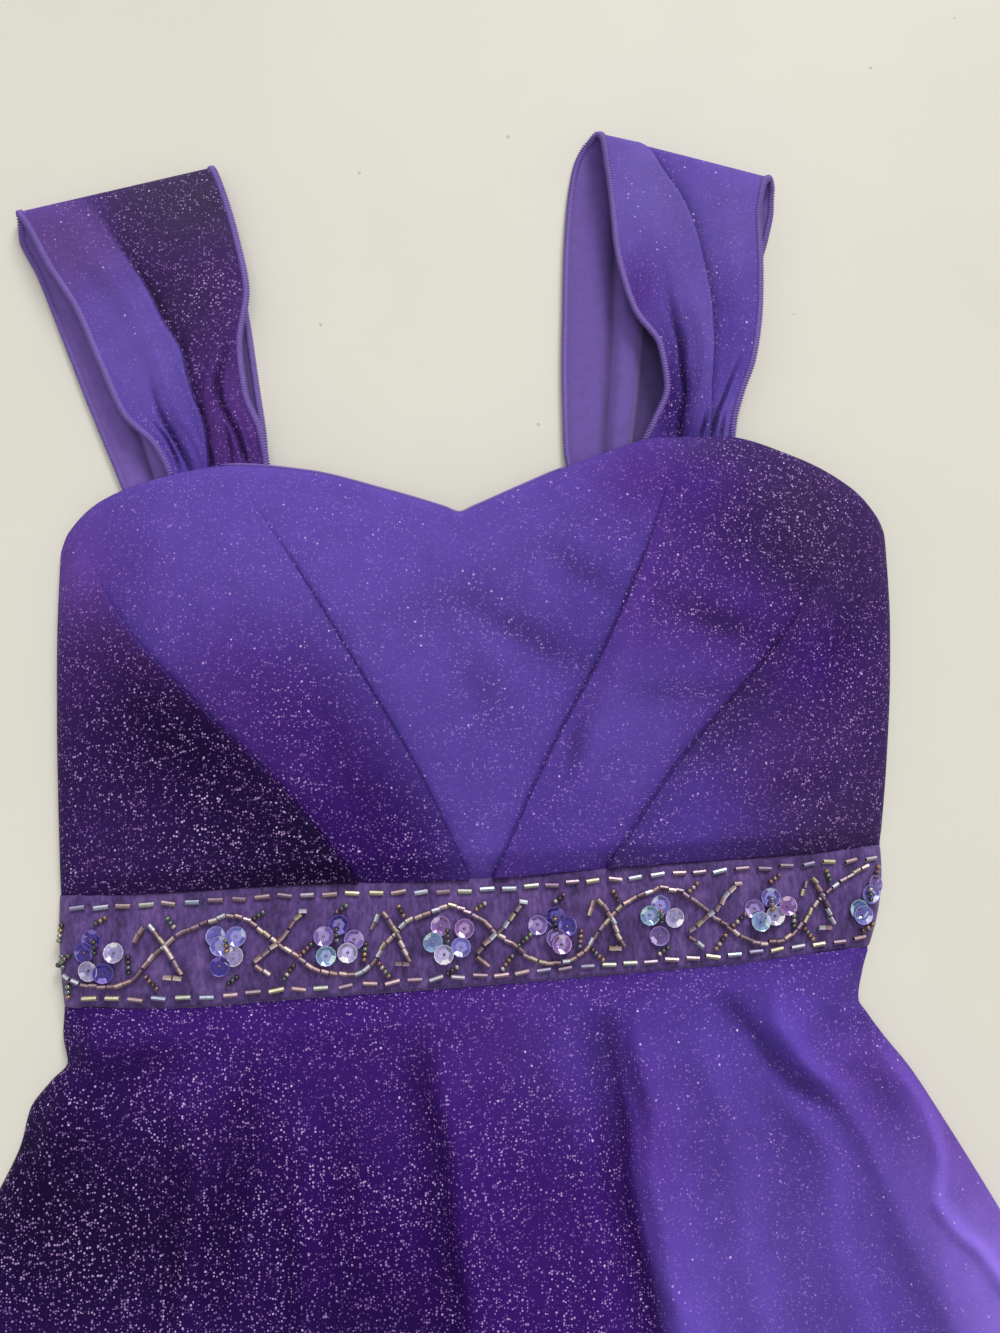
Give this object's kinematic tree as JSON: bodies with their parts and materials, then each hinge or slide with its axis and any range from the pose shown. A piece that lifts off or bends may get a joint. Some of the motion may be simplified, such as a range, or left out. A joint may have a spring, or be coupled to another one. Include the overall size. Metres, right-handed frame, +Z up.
{
  "type": "a-line formal dress",
  "caption": "Short A-line formal dress laid flat: padded sweetheart bodice with diagonal tucks, beaded waistband, flared skirt and wide gathered straps.",
  "frame": {"origin": "middle of the laid dress's outline, on the surface it lies on", "axes": "+X to the right as seen from above, +Y from the hem towards the straps, +Z up from the surface"},
  "size_m": [0.823, 0.907, 0.0268],
  "materials": {
    "bodice_knit": "glitter stretch knit, purple ombre",
    "skirt_knit": "glitter stretch knit, purple ombre",
    "strap_knit": "glitter stretch knit, matte inside",
    "band_velvet": "soft pile band with bead trim",
    "zip_tape": "woven concealed zip tape"
  },
  "bodies": {
    "root": {"bodice_front": "bodice_knit", "bodice_back_left": "bodice_knit", "bodice_back_right": "bodice_knit", "back_zip": "zip_tape", "waistband_front": "band_velvet", "waistband_back_left": "band_velvet", "waistband_back_right": "band_velvet", "skirt_front": "skirt_knit", "skirt_back_left": "skirt_knit", "skirt_back_right": "skirt_knit", "strap_left": "strap_knit", "strap_right": "strap_knit"}
  },
  "joints": []
}
